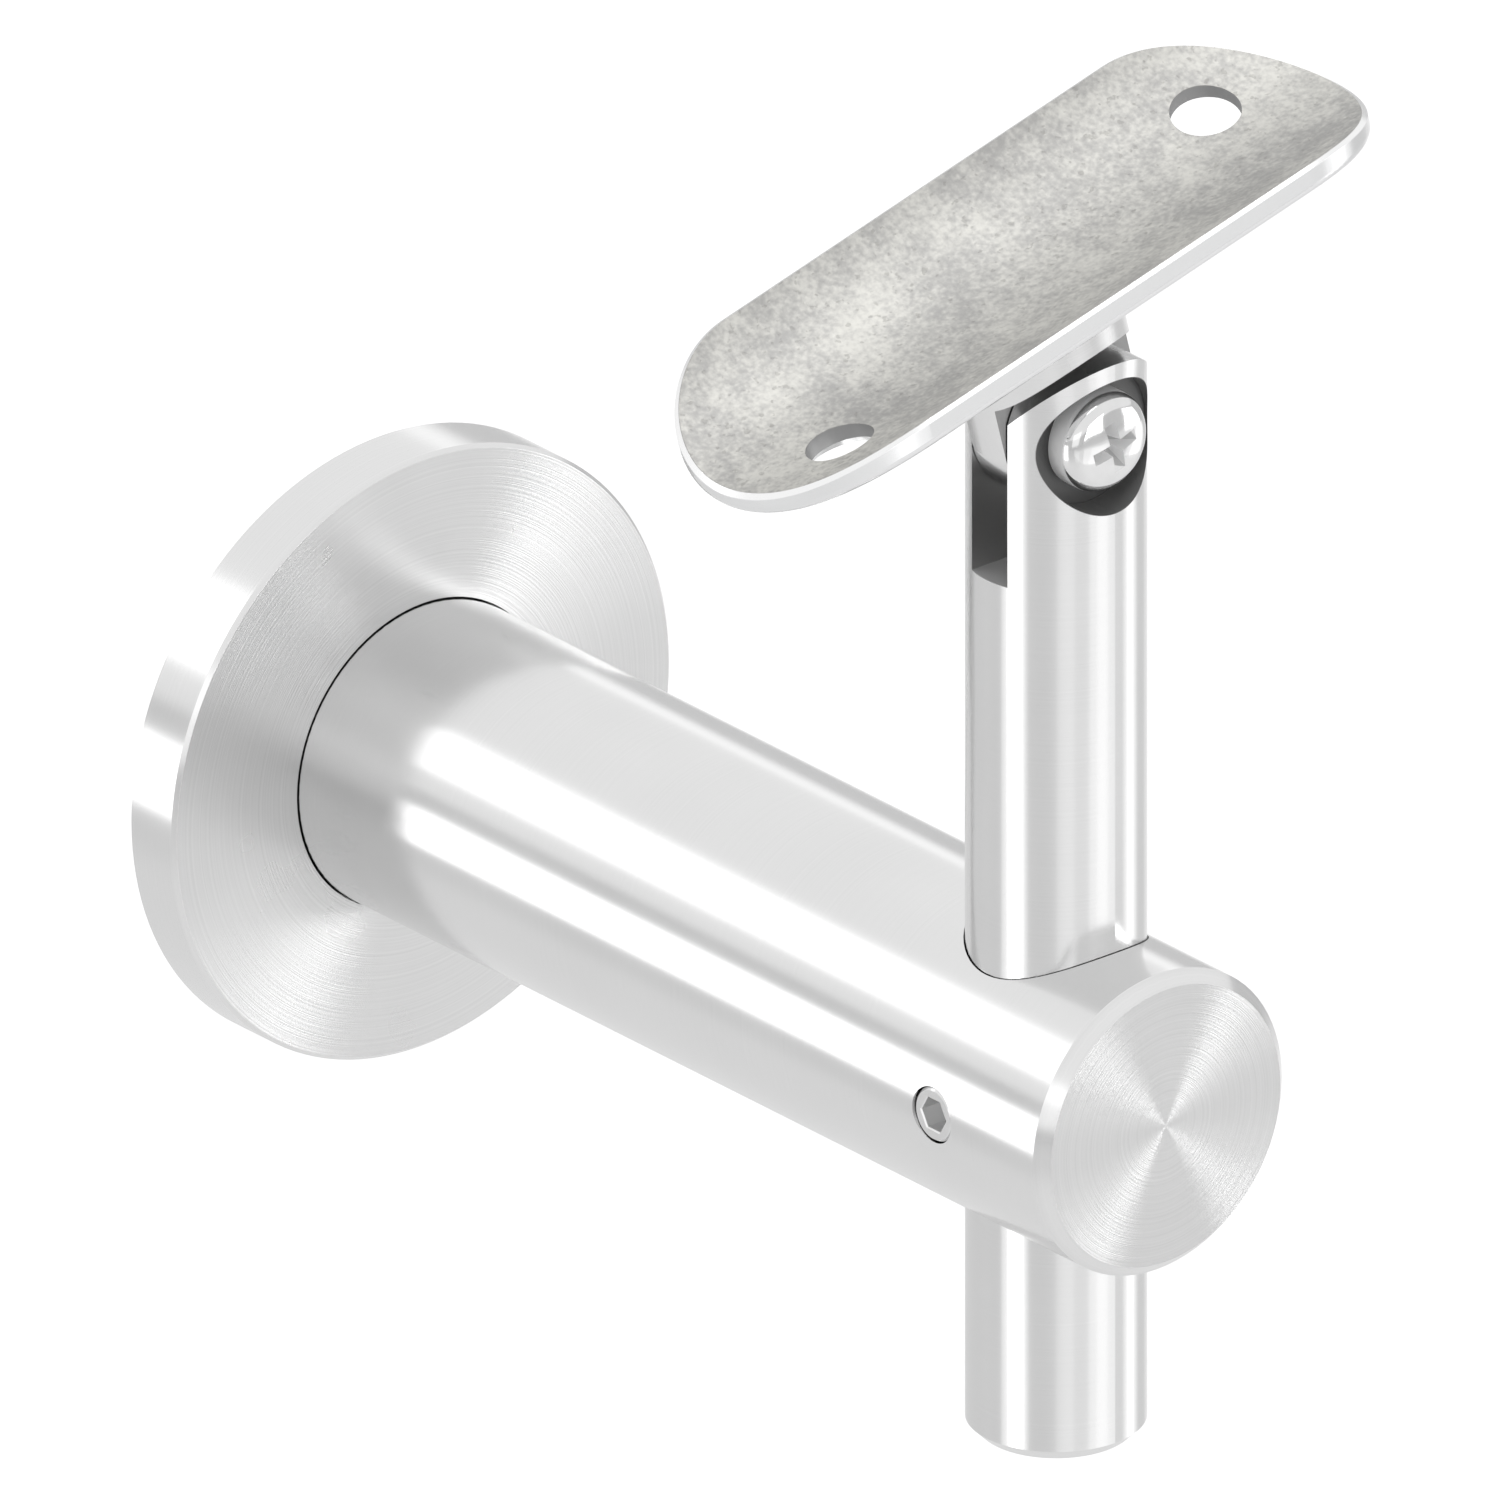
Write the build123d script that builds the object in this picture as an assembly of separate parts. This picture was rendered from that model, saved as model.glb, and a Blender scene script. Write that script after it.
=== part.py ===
"""Adjustable handrail bracket: wall rosette, round arm, height post and tilting saddle.

All sizes are in millimetres. The origin is the centre of the rosette's back face, on the wall.
+X points out from the wall along the arm, +Y runs along the wall and +Z is up.
"""
import math
import os

from build123d import *

# Wall rosette: a turned disc whose seat takes the end of the arm
rosette_diameter = 50.0
rosette_thickness = 5.0
rosette_edge_chamfer = 0.3
rosette_seat_depth = 3.0
rosette_arm_gap = 0.12
fixing_hole_diameter = 8.5

# Arm: a solid round bar, tapped for the wall stud and cross-bored for the post
arm_diameter = 25.0
arm_reach = 93.0
arm_end_chamfer = 1.0
wall_thread_drill = 6.8
wall_thread_depth = 20.0
wall_thread_chamfer = 0.8
drill_point_angle = 118.0
post_to_arm_end = 13.0
post_fit = 0.1

# Set screw: an M5 socket grub screw in the side of the arm, drawn at its thread's mean diameter
set_screw_diameter = 4.5
set_screw_recess = 0.15
set_screw_tip_gap = 0.05
set_screw_socket = 2.5
set_screw_socket_depth = 2.3
set_screw_end_chamfer = 0.25
set_screw_point_chamfer = 0.9

# Post: a round bar with a forked, full-round top
post_diameter = 14.0
post_drop = 30.0
post_foot_chamfer = 1.0
pivot_height = 55.25
fork_slot_depth = 11.6
tongue_side_gap = 0.1
screw_seat_offset = 3.9
screw_pocket_diameter = 11.2

# Pivot screw: a cross-recessed pan head screw through the fork and the tongue
pivot_screw_diameter = 4.0
pivot_screw_length = 10.0
pivot_screw_gap = 0.1
pivot_head_diameter = 8.0
pivot_head_height = 3.1
pivot_head_crown_radius = 9.0
pivot_head_edge_round = 1.2
pivot_screw_point_chamfer = 0.5
recess_span = 4.6
recess_slot = 1.05
recess_depth = 2.1
recess_floor_span = 1.2
recess_turn = 15.0
tapped_hole_gap = 0.05

# Saddle: a curved rail plate on a round neck, whose tongue turns in the fork
saddle_tilt = 14.5
tongue_thickness = 4.0
tongue_nose_radius = 6.7
tongue_nose_lift = 0.5
neck_diameter = 14.0
neck_relief_radius = 8.65
rail_diameter = 42.4
plate_length = 63.8
plate_width = 24.5
plate_thickness = 2.0
plate_lift = 12.9
plate_top_edge_chamfer = 0.45
plate_bottom_edge_round = 1.0
plate_hole_diameter = 5.6
plate_hole_land = 1.15
plate_countersink_angle = 90.0
plate_hole_spacing = 45.6
plate_hole_stagger = 9.2

# Sizes that follow from the ones above
arm_radius = arm_diameter / 2
post_radius = post_diameter / 2
arm_start = rosette_thickness - rosette_seat_depth
post_distance = arm_reach - post_to_arm_end
fork_slot_width = tongue_thickness + 2 * tongue_side_gap
set_screw_length = arm_radius - set_screw_recess - post_radius - set_screw_tip_gap
plate_inner_radius = rail_diameter / 2
plate_outer_radius = plate_inner_radius + plate_thickness
rail_axis_lift = plate_lift + plate_inner_radius
oversize = 2 * max(arm_reach, rosette_diameter, plate_length)

# Placements: the cross bore and the pivot, upright and tilted with the saddle
at_post = Pos(post_distance, 0, 0)
at_pivot = Pos(post_distance, 0, pivot_height)
at_saddle = at_pivot * Rot(saddle_tilt, 0, 0)
toward_x = Rot(0, 90, 0)
toward_y = Rot(-90, 0, 0)


def rod(radius, start, end):
    """Round bar about the local Z axis, from one height to another."""
    return Pos(0, 0, (start + end) / 2) * Cylinder(radius, end - start)


def rod_x(radius, start, end):
    """Round bar along X."""
    return toward_x * rod(radius, start, end)


def drilled_point(radius, mouth, depth):
    """Blind drilled hole along X: a cylinder and the cone that the drill leaves."""
    point = radius / math.tan(math.radians(drill_point_angle / 2))
    profile = Polyline(
        (mouth, 0), (mouth, radius), (mouth + depth, radius), (mouth + depth + point, 0), close=True
    )
    return revolve(make_face(Plane.XY * profile), Axis.X)


def wall_rosette():
    """Disc with a seat for the arm's end and a clearance hole for the wall stud."""
    disc = rod_x(rosette_diameter / 2, 0, rosette_thickness)
    rim = disc.edges().filter_by(GeomType.CIRCLE).sort_by(Axis.X)[-1]
    disc = chamfer(rim, rosette_edge_chamfer)
    disc -= rod_x(arm_radius + rosette_arm_gap, arm_start, rosette_thickness + oversize)
    return disc - rod_x(fixing_hole_diameter / 2, -oversize, oversize)


def arm_bar():
    """Bar with a chamfered end, a blind wall thread, the post's cross bore and the screw's hole."""
    bar = rod_x(arm_radius, arm_start, arm_reach)
    bar = chamfer(bar.edges().filter_by(GeomType.CIRCLE).sort_by(Axis.X)[-1], arm_end_chamfer)
    bar -= drilled_point(wall_thread_drill / 2, arm_start, wall_thread_depth)
    mouth = bar.faces().sort_by(Axis.X)[0].inner_wires()[0].edges()
    bar = chamfer(mouth, wall_thread_chamfer)
    bar -= at_post * rod(post_radius + post_fit, -oversize, oversize)
    side_hole = rod(set_screw_diameter / 2 + tapped_hole_gap, 0, oversize)
    return bar - at_post * Rot(90, 0, 0) * side_hole


def set_screw():
    """Grub screw with a hexagon socket, its point next to the post."""
    screw = rod(set_screw_diameter / 2, 0, set_screw_length)
    ends = screw.edges().filter_by(GeomType.CIRCLE).sort_by(Axis.Z)
    screw = chamfer(ends[0], set_screw_point_chamfer)
    screw = chamfer(screw.edges().filter_by(GeomType.CIRCLE).sort_by(Axis.Z)[-1], set_screw_end_chamfer)
    hexagon = RegularPolygon(set_screw_socket / 2, 6, major_radius=False)
    screw -= extrude(Plane.XY.offset(set_screw_length) * hexagon, -set_screw_socket_depth)
    return at_post * Rot(90, 0, 0) * Pos(0, 0, post_radius + set_screw_tip_gap) * screw


def height_post():
    """Post with a chamfered foot and a slotted full-round fork for the tongue and its screw."""
    top = pivot_height + post_radius
    post = rod(post_radius, -post_drop, top)
    post = chamfer(post.edges().filter_by(GeomType.CIRCLE).sort_by(Axis.Z)[0], post_foot_chamfer)
    body_below_pivot = rod(oversize, -oversize, pivot_height)
    fork_round = Pos(0, 0, pivot_height) * rod_x(post_radius, -oversize, oversize)
    post = post & (body_below_pivot + fork_round)
    slot = Pos(0, 0, pivot_height - fork_slot_depth) * Box(
        fork_slot_width, oversize, oversize, align=(Align.CENTER, Align.CENTER, Align.MIN)
    )
    post -= slot
    screw_radius = pivot_screw_diameter / 2
    cuts = rod_x(screw_pocket_diameter / 2, screw_seat_offset, oversize)
    cuts += rod_x(screw_radius + pivot_screw_gap, 0, oversize)
    cuts += rod_x(screw_radius + tapped_hole_gap, -oversize, 0)
    return at_post * (post - Pos(0, 0, pivot_height) * cuts)


def cross_recess():
    """Cross-shaped driver recess, sunk from the local plane Z = 0 and tapering downwards."""
    bars = Box(recess_span, recess_slot, 2 * recess_depth) + Box(recess_slot, recess_span, 2 * recess_depth)
    taper = Pos(0, 0, -recess_depth / 2) * Cone(recess_floor_span / 2, recess_span / 2, recess_depth)
    return bars & taper


def pivot_screw():
    """Pan head screw: a rounded, slightly domed head with a cross recess, and a plain shank."""
    profile = Rectangle(pivot_head_diameter / 2, pivot_head_height, align=(Align.MIN, Align.MIN))
    profile &= Pos(0, pivot_head_height - pivot_head_crown_radius) * Circle(pivot_head_crown_radius)
    crown_corner = profile.vertices().group_by(Axis.X)[-1].sort_by(Axis.Y)[-1]
    head = revolve(Plane.XZ * fillet(crown_corner, pivot_head_edge_round), Axis.Z)
    head -= Rot(0, 0, recess_turn) * Pos(0, 0, pivot_head_height) * cross_recess()
    shank = rod(pivot_screw_diameter / 2, -pivot_screw_length, 0)
    shank = chamfer(shank.edges().filter_by(GeomType.CIRCLE).sort_by(Axis.Z)[0], pivot_screw_point_chamfer)
    return at_pivot * Pos(screw_seat_offset, 0, 0) * toward_x * (head + shank)


def rail_cylinder(radius):
    """Cylinder along the rail, in the saddle's frame with the pivot at its origin."""
    return Pos(0, 0, rail_axis_lift) * toward_y * Cylinder(radius, oversize)


def saddle_neck():
    """Round neck under the plate, hollowed round the fork's top and milled to a tongue below."""
    nose = Pos(0, 0, tongue_nose_lift) * rod_x(tongue_nose_radius, -oversize, oversize)
    blank = rod(neck_diameter / 2, -tongue_nose_radius, rail_axis_lift) - rail_cylinder(plate_outer_radius)
    upper_half = rod(oversize, 0, oversize)
    shoulders = (blank & upper_half) - rod_x(neck_relief_radius, -oversize, oversize)
    tongue = blank & Box(tongue_thickness, oversize, oversize)
    tongue &= rod(oversize, tongue_nose_lift, oversize) + nose
    neck = shoulders + tongue
    return at_saddle * (neck - rod_x(pivot_screw_diameter / 2 + pivot_screw_gap, -oversize, oversize))


def plate_hole(side):
    """Screw hole square to the curved plate and countersunk from below.

    The side is +1 for the raised end and -1 for the other.
    """
    middle_radius = plate_inner_radius + plate_thickness / 2
    lean = math.degrees(math.asin(plate_hole_stagger / 2 / middle_radius))
    hole_radius = plate_hole_diameter / 2
    land_end = -(plate_inner_radius + plate_hole_land)
    sink_depth = plate_thickness
    sink_radius = hole_radius + sink_depth * math.tan(math.radians(plate_countersink_angle / 2))
    sink = Pos(0, 0, land_end - sink_depth / 2) * Cone(sink_radius, hole_radius, sink_depth)
    hole = rod(hole_radius, -oversize, 0) + sink
    return Pos(0, side * plate_hole_spacing / 2, rail_axis_lift) * Rot(0, side * lean, 0) * hole


def curved_face_rim(plate, radius):
    """Edges round the plate's curved face of the given radius."""
    faces = plate.faces().filter_by(GeomType.CYLINDER)
    return min(faces, key=lambda face: abs(face.radius - radius)).outer_wire().edges()


def saddle_plate():
    """Curved plate with round ends that carries the rail, with two staggered screw holes."""
    outline = SlotOverall(plate_length, plate_width, rotation=90)
    plate = extrude(Plane.XY * outline, rail_axis_lift)
    plate = (plate & rail_cylinder(plate_outer_radius)) - rail_cylinder(plate_inner_radius)
    plate = chamfer(curved_face_rim(plate, plate_inner_radius), plate_top_edge_chamfer)
    plate = fillet(curved_face_rim(plate, plate_outer_radius), plate_bottom_edge_round)
    for side in (1, -1):
        plate -= plate_hole(side)
    return at_saddle * plate


def main():
    """Write one STEP file for each piece."""
    os.makedirs("parts", exist_ok=True)
    pieces = {
        "wall_rosette": wall_rosette(),
        "arm_bar": arm_bar(),
        "set_screw": set_screw(),
        "height_post": height_post(),
        "pivot_screw": pivot_screw(),
        "saddle_neck": saddle_neck(),
        "saddle_plate": saddle_plate(),
    }
    for name, piece in pieces.items():
        export_step(piece, f"parts/{name}.step")
        print(f"{name}: {piece.volume:.1f} mm3")


main()
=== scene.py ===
"""Looks of an adjustable handrail bracket in stainless steel, and its bright studio.

Places and lengths are in metres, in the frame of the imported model: +X out from the wall,
+Z up. The classes that say so keep a small piece's own sizes in millimetres.
"""

import logging
import math
from dataclasses import dataclass, field
from enum import Enum
from typing import Any, Sequence

import bpy
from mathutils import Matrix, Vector


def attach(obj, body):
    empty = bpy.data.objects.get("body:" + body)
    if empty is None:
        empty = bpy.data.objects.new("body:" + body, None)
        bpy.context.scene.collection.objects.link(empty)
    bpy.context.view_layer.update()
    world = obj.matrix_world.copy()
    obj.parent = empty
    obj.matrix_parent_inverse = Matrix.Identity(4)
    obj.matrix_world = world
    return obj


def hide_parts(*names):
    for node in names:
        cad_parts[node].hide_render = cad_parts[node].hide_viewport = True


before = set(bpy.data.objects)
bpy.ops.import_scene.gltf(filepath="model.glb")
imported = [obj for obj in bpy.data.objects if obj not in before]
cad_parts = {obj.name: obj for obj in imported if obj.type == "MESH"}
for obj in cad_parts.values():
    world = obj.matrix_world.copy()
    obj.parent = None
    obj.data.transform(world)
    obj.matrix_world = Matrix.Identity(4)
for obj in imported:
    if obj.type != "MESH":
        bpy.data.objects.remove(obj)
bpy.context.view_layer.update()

logging.basicConfig(level=logging.INFO, format="%(message)s")
log = logging.getLogger("handrail_bracket")

MM = 0.001
NOISE_MIDDLE = 0.5
SMOOTH_ANGLE = 32.0
POST_X = 80 * MM
PIVOT_HEIGHT = 55.25 * MM
PIVOT = (POST_X, 0.0, PIVOT_HEIGHT)
POCKET_FLOOR = 3.9 * MM

Triple = tuple[float, float, float]


class Axis(Enum):
    """Direction of a turning axis."""

    X = (1.0, 0.0, 0.0)
    Y = (0.0, 1.0, 0.0)
    Z = (0.0, 0.0, 1.0)


class Wire:
    """A shader socket; arithmetic on it adds the matching Math nodes."""

    def __init__(self, graph: "Graph", socket: bpy.types.NodeSocket) -> None:
        """Keep the socket and the graph that it belongs to."""
        self.graph = graph
        self.socket = socket

    def math(self, operation: str, other: Any) -> "Wire":
        """Add a Math node on this wire and another value."""
        return self.graph.math(operation, self, other)

    def __add__(self, other: Any) -> "Wire":
        """Sum."""
        return self.math("ADD", other)

    def __radd__(self, other: Any) -> "Wire":
        """Sum, from the right."""
        return self.math("ADD", other)

    def __sub__(self, other: Any) -> "Wire":
        """Difference."""
        return self.math("SUBTRACT", other)

    def __rsub__(self, other: Any) -> "Wire":
        """Difference, from the right."""
        return self.graph.math("SUBTRACT", other, self)

    def __mul__(self, other: Any) -> "Wire":
        """Product."""
        return self.math("MULTIPLY", other)

    def __rmul__(self, other: Any) -> "Wire":
        """Product, from the right."""
        return self.math("MULTIPLY", other)


class Graph:
    """Node tree of one material or world."""

    def __init__(self, owner: Any) -> None:
        """Start with an empty tree.

        Args:
            owner: The material or world that holds the nodes.
        """
        owner.use_nodes = True
        self.tree = owner.node_tree
        self.tree.nodes.clear()

    def add(self, kind: str, settings: dict[str, Any] | None = None, **values: Any) -> Wire:
        """Add a node, set it up and feed its sockets.

        Args:
            kind: Node type, without its ShaderNode prefix.
            settings: Attributes of the node.
            values: Numbers, colours or wires for inputs, by socket name with _ for each space.

        Returns:
            The node's first enabled output.
        """
        node = self.tree.nodes.new("ShaderNode" + kind)
        for name, value in (settings or {}).items():
            setattr(node, name, value)
        for name, value in values.items():
            self.feed(self._input(node, name), value)
        enabled = [socket for socket in node.outputs if socket.enabled]
        return Wire(self, enabled[0])

    @staticmethod
    def _input(node: bpy.types.Node, name: str) -> bpy.types.NodeSocket:
        """Find an input of a node.

        Args:
            node: The node.
            name: The input's name with _ for each space, or in_ and its number.

        Returns:
            The enabled input of that name, or the input of that number.
        """
        if name.startswith("in_"):
            return node.inputs[int(name[3:])]
        wanted = name.replace("_", " ")
        return next(socket for socket in node.inputs if socket.name == wanted and socket.enabled)

    def feed(self, socket: bpy.types.NodeSocket, value: Any) -> None:
        """Link a wire to the socket, or set the socket to a number or colour.

        Args:
            socket: The input to feed.
            value: A wire, a number, or a colour or vector, whose missing last numbers become 1.
        """
        if isinstance(value, Wire):
            self.tree.links.new(value.socket, socket)
        elif isinstance(value, (int, float, str)):
            socket.default_value = value
        else:
            numbers = tuple(value)
            filled = numbers + (1.0,) * (len(socket.default_value) - len(numbers))
            socket.default_value = filled

    def math(self, operation: str, *values: Any) -> Wire:
        """Add a Math node on the values."""
        inputs = {f"in_{i}": value for i, value in enumerate(values)}
        return self.add("Math", {"operation": operation}, **inputs)

    def vector_math(self, operation: str, *values: Any) -> Wire:
        """Add a Vector Math node on the values; its number comes back where it makes one."""
        inputs = {f"in_{i}": value for i, value in enumerate(values)}
        return self.add("VectorMath", {"operation": operation}, **inputs)

    def scale(self, vector: Wire, factor: Any) -> Wire:
        """A vector times a number."""
        return self.add("VectorMath", {"operation": "SCALE"}, in_0=vector, in_3=factor)

    def smooth(self, value: Wire, start: float, end: float) -> Wire:
        """0 before start, 1 after end and a smooth step between them."""
        limits = {"in_1": start, "in_2": end, "in_3": 0.0, "in_4": 1.0}
        return self.add("MapRange", {"interpolation_type": "SMOOTHSTEP"}, in_0=value, **limits)

    def mix(self, factor: Any, first: Any, second: Any) -> Wire:
        """Mix two colours.

        Args:
            factor: Share of the second colour, a number or a wire.
            first: Colour at factor 0.
            second: Colour at factor 1.

        Returns:
            The mixed colour.
        """
        node = self.tree.nodes.new("ShaderNodeMix")
        node.data_type = "RGBA"
        self.feed(node.inputs["Factor"], factor)
        colours = [socket for socket in node.inputs if socket.type == "RGBA"]
        self.feed(colours[0], first)
        self.feed(colours[1], second)
        return Wire(self, next(socket for socket in node.outputs if socket.type == "RGBA"))

    def blend(self, factor: Wire, first: Any, second: Any) -> Wire:
        """Go from the first number to the second as the factor goes from 0 to 1."""
        return (1.0 - factor) * first + factor * second

    def below(self, value: Wire, limit: float) -> Wire:
        """1 where the value is under the limit, and otherwise 0."""
        return self.math("LESS_THAN", value, limit)

    def parts(self, vector: Wire) -> list[Wire]:
        """The vector's three coordinates."""
        node = self.add("SeparateXYZ", Vector=vector).socket.node
        return [Wire(self, socket) for socket in node.outputs]

    def position(self) -> Wire:
        """Object coordinates of the shaded point."""
        node = self.tree.nodes.new("ShaderNodeTexCoord")
        return Wire(self, node.outputs["Object"])

    def normal(self) -> Wire:
        """Smooth normal of the shaded point."""
        node = self.tree.nodes.new("ShaderNodeNewGeometry")
        return Wire(self, node.outputs["Normal"])

    def noise(self, scale: float, detail: float = 2.0, **values: Any) -> Wire:
        """Noise of the given scale, between 0 and 1 about 0.5.

        Args:
            scale: Waves per unit of the vector, or of W for a one-dimensional noise.
            detail: Octaves.
            values: Either a Vector or a W.

        Returns:
            The noise's value.
        """
        settings = {"noise_dimensions": "1D" if "W" in values else "3D"}
        return self.add("TexNoise", settings, Scale=scale, Detail=detail, **values)

    def seen_by(self, *kinds: str) -> list[Wire]:
        """1 for each kind of ray that sees the point, and otherwise 0."""
        path = self.tree.nodes.new("ShaderNodeLightPath")
        return [Wire(self, path.outputs[f"Is {kind} Ray"]) for kind in kinds]

    def finish_steel(self, normal: Wire | None, **values: Any) -> None:
        """End the tree in a metallic Principled shader.

        Args:
            normal: Normal of the finish, or None for the bare surface.
            values: Numbers or wires for the shader's sockets.
        """
        node = self.tree.nodes.new("ShaderNodeBsdfPrincipled")
        for name, value in {"Metallic": 1.0, **values}.items():
            self.feed(node.inputs[name.replace("_", " ")], value)
        if normal is not None:
            self.feed(node.inputs["Normal"], normal)
        output = self.tree.nodes.new("ShaderNodeOutputMaterial")
        self.tree.links.new(node.outputs[0], output.inputs[0])


@dataclass(frozen=True)
class PaintedShadeLook:
    """Painted shade of a wall inside a piece: a grey level darkened for the shade there, and its
    roughness.
    """

    colour: float
    roughness: float


@dataclass(frozen=True)
class NoiseLayer:
    """One layer of a mottled finish, with its waves to a millimetre, its octaves and its share."""

    per_mm: float
    octaves: float
    share: float

    def build(self, graph: Graph, point: Wire) -> Wire:
        """The layer's noise at the point, not yet weighed by its share."""
        return graph.noise(self.per_mm / MM, self.octaves, Vector=point)


@dataclass(frozen=True)
class TurnedSteel:
    """Steel that was turned on a lathe, with grooves round an axis.

    The grooves tilt the surface across themselves, so a flat end shows bright fans from its centre.
    """

    name: str
    axis: Axis
    centre: Triple = (0.0, 0.0, 0.0)
    colour: float = 0.75
    end_colour: float = 0.615
    roughness: float = 0.17
    end_roughness: float = 0.28
    end_facing: tuple[float, float] = (0.85, 0.97)
    end_tilt: float = 0.9
    side_tilt: float = 0.02
    rest_of_fans: float = 0.05
    grooves_per_mm: float = 14.0
    groove_share: float = 0.9
    fine_share: float = 0.85
    fine_per_metre: float = 1.0e6
    shift_along: float = 0.73
    groove_shade: float = 0.05
    brushing_per_mm: float = 4.5
    brushing_shade: float = 0.02
    end_brushing_shade: float = 0.09
    blotch: NoiseLayer = NoiseLayer(0.09, 3.0, 0.04)
    blotch_roughness: float = 0.05
    thread_radius: float = 0.0
    thread_pitch: float = 1.25 * MM
    thread_slope: float = 0.5

    def painted_shade_walls(self, graph: Graph, point: Wire) -> list[tuple[Wire, PaintedShadeLook]]:
        """Find the walls inside the piece that get painted shade, a darker grey for the shade in
        them.

        Args:
            graph: The material's nodes.
            point: Object coordinates of the shaded point.

        Returns:
            For each kind of wall, a wire that is 1 on it and otherwise 0, and its painted shade.
        """
        return []

    def thread(self, graph: Graph, along: Wire, sides: list[Wire]) -> Wire:
        """Find the slopes of the thread in a tapped bore.

        Args:
            graph: The material's nodes.
            along: Place along the axis.
            sides: The three coordinates of the direction away from the axis.

        Returns:
            The thread's tilt, positive on one flank and negative on the other.
        """
        turns = graph.math("ARCTAN2", sides[1], sides[2]) * (0.5 / math.pi)
        rising = graph.below(graph.math("FRACT", along * (1.0 / self.thread_pitch) + turns), 0.5)
        return (rising - 0.5) * (2.0 * self.thread_slope)

    def build(self) -> bpy.types.Material:
        """Make the material.

        Returns:
            The finish.
        """
        material = bpy.data.materials.new(self.name)
        graph = Graph(material)
        axis = self.axis.value
        point = graph.position()
        offset = graph.vector_math("SUBTRACT", point, self.centre)
        along = graph.vector_math("DOT_PRODUCT", offset, axis)
        along_vector = graph.scale(graph.add("CombineXYZ", X=axis[0], Y=axis[1], Z=axis[2]), along)
        radial = graph.vector_math("SUBTRACT", offset, along_vector)
        radius = graph.vector_math("LENGTH", radial)
        outward = graph.vector_math("NORMALIZE", radial)
        surface = graph.normal()
        groove = graph.vector_math("CROSS_PRODUCT", axis, outward)
        across = graph.vector_math("CROSS_PRODUCT", groove, surface)
        facing = graph.math("ABSOLUTE", graph.vector_math("DOT_PRODUCT", surface, axis))
        is_end = graph.smooth(facing, *self.end_facing)
        place = radius + along * self.shift_along
        ridges = graph.noise(self.grooves_per_mm / MM, detail=1.0, W=place) - NOISE_MIDDLE
        fine = place * self.fine_per_metre
        white = graph.add("TexWhiteNoise", {"noise_dimensions": "1D"}, W=fine)
        sides = graph.parts(outward)
        diagonal = graph.math("ABSOLUTE", sides[1] * sides[2]) * 2.0
        fans = diagonal * diagonal * (1.0 - self.rest_of_fans) + self.rest_of_fans
        spread = is_end * fans * (self.end_tilt - self.side_tilt) + self.side_tilt
        tilt = ((white - NOISE_MIDDLE) * self.fine_share + ridges * self.groove_share) * spread
        if self.thread_radius:
            in_bore = graph.below(radius, self.thread_radius) * (1.0 - is_end)
            tilt = self.thread(graph, along, sides) * in_bore + tilt
        tilted = graph.vector_math("ADD", surface, graph.scale(across, tilt))
        blotch = self.blotch.build(graph, offset) - NOISE_MIDDLE
        plain = graph.blend(is_end, self.colour, self.end_colour) + blotch * self.blotch.share
        brushing = graph.noise(self.brushing_per_mm / MM, W=place) - NOISE_MIDDLE
        brushed = brushing * (is_end * self.end_brushing_shade + self.brushing_shade)
        shade = ridges * self.groove_shade + brushed + plain
        roughness = graph.blend(is_end, self.roughness, self.end_roughness)
        roughness = roughness + blotch * self.blotch_roughness
        # Painted shade: walls inside the piece get a darker grey for the shade that falls in them.
        for wall, look in self.painted_shade_walls(graph, point):
            shade = graph.blend(wall, shade, look.colour)
            roughness = graph.blend(wall, roughness, look.roughness)
        graph.finish_steel(
            graph.vector_math("NORMALIZE", tilted),
            Base_Color=graph.add("CombineColor", Red=shade, Green=shade, Blue=shade),
            Roughness=roughness,
        )
        return material


@dataclass(frozen=True)
class ForkSteel(TurnedSteel):
    """Turned steel of the post, with painted shade inside the fork's slot and the pocket for the
    screw's head.
    """

    pivot: Triple = (0.0, 0.0, 0.0)
    slot_half_width: float = 2.1 * MM
    slot_floor: float = 43.65 * MM
    pocket_radius: float = 5.6 * MM
    pocket_floor: float = POCKET_FLOOR
    margin: float = 0.03 * MM
    # Painted shade: darker greys on the walls and floors of the slot and the pocket, for the shade
    # that falls there.
    slot_shade_look: PaintedShadeLook = PaintedShadeLook(0.5, 0.38)
    slot_floor_shade_look: PaintedShadeLook = PaintedShadeLook(0.62, 0.75)
    pocket_shade_look: PaintedShadeLook = PaintedShadeLook(0.38, 0.4)
    pocket_floor_shade_look: PaintedShadeLook = PaintedShadeLook(0.12, 0.4)

    def painted_shade_walls(self, graph: Graph, point: Wire) -> list[tuple[Wire, PaintedShadeLook]]:
        """Find the walls and floors of the slot and of the pocket.

        Args:
            graph: The material's nodes.
            point: Object coordinates of the shaded point.

        Returns:
            The slot's walls and floor and the pocket's wall and floor, each with its painted shade.
        """
        x, y, z = graph.parts(graph.vector_math("SUBTRACT", point, self.pivot))
        floor = self.slot_floor - self.pivot[2]
        beside = graph.below(graph.math("ABSOLUTE", x), self.slot_half_width + self.margin)
        slot = beside * (1.0 - graph.below(z, floor - self.margin))
        slot_floor = slot * graph.below(z, floor + self.margin)
        from_screw = graph.math("SQRT", y * y + z * z)
        around = graph.below(from_screw, self.pocket_radius + self.margin)
        pocket = around * (1.0 - graph.below(x, self.pocket_floor - self.margin))
        pocket_floor = pocket * graph.below(x, self.pocket_floor + self.margin)
        return [
            (slot, self.slot_shade_look),
            (slot_floor, self.slot_floor_shade_look),
            (pocket, self.pocket_shade_look),
            (pocket_floor, self.pocket_floor_shade_look),
        ]


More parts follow.
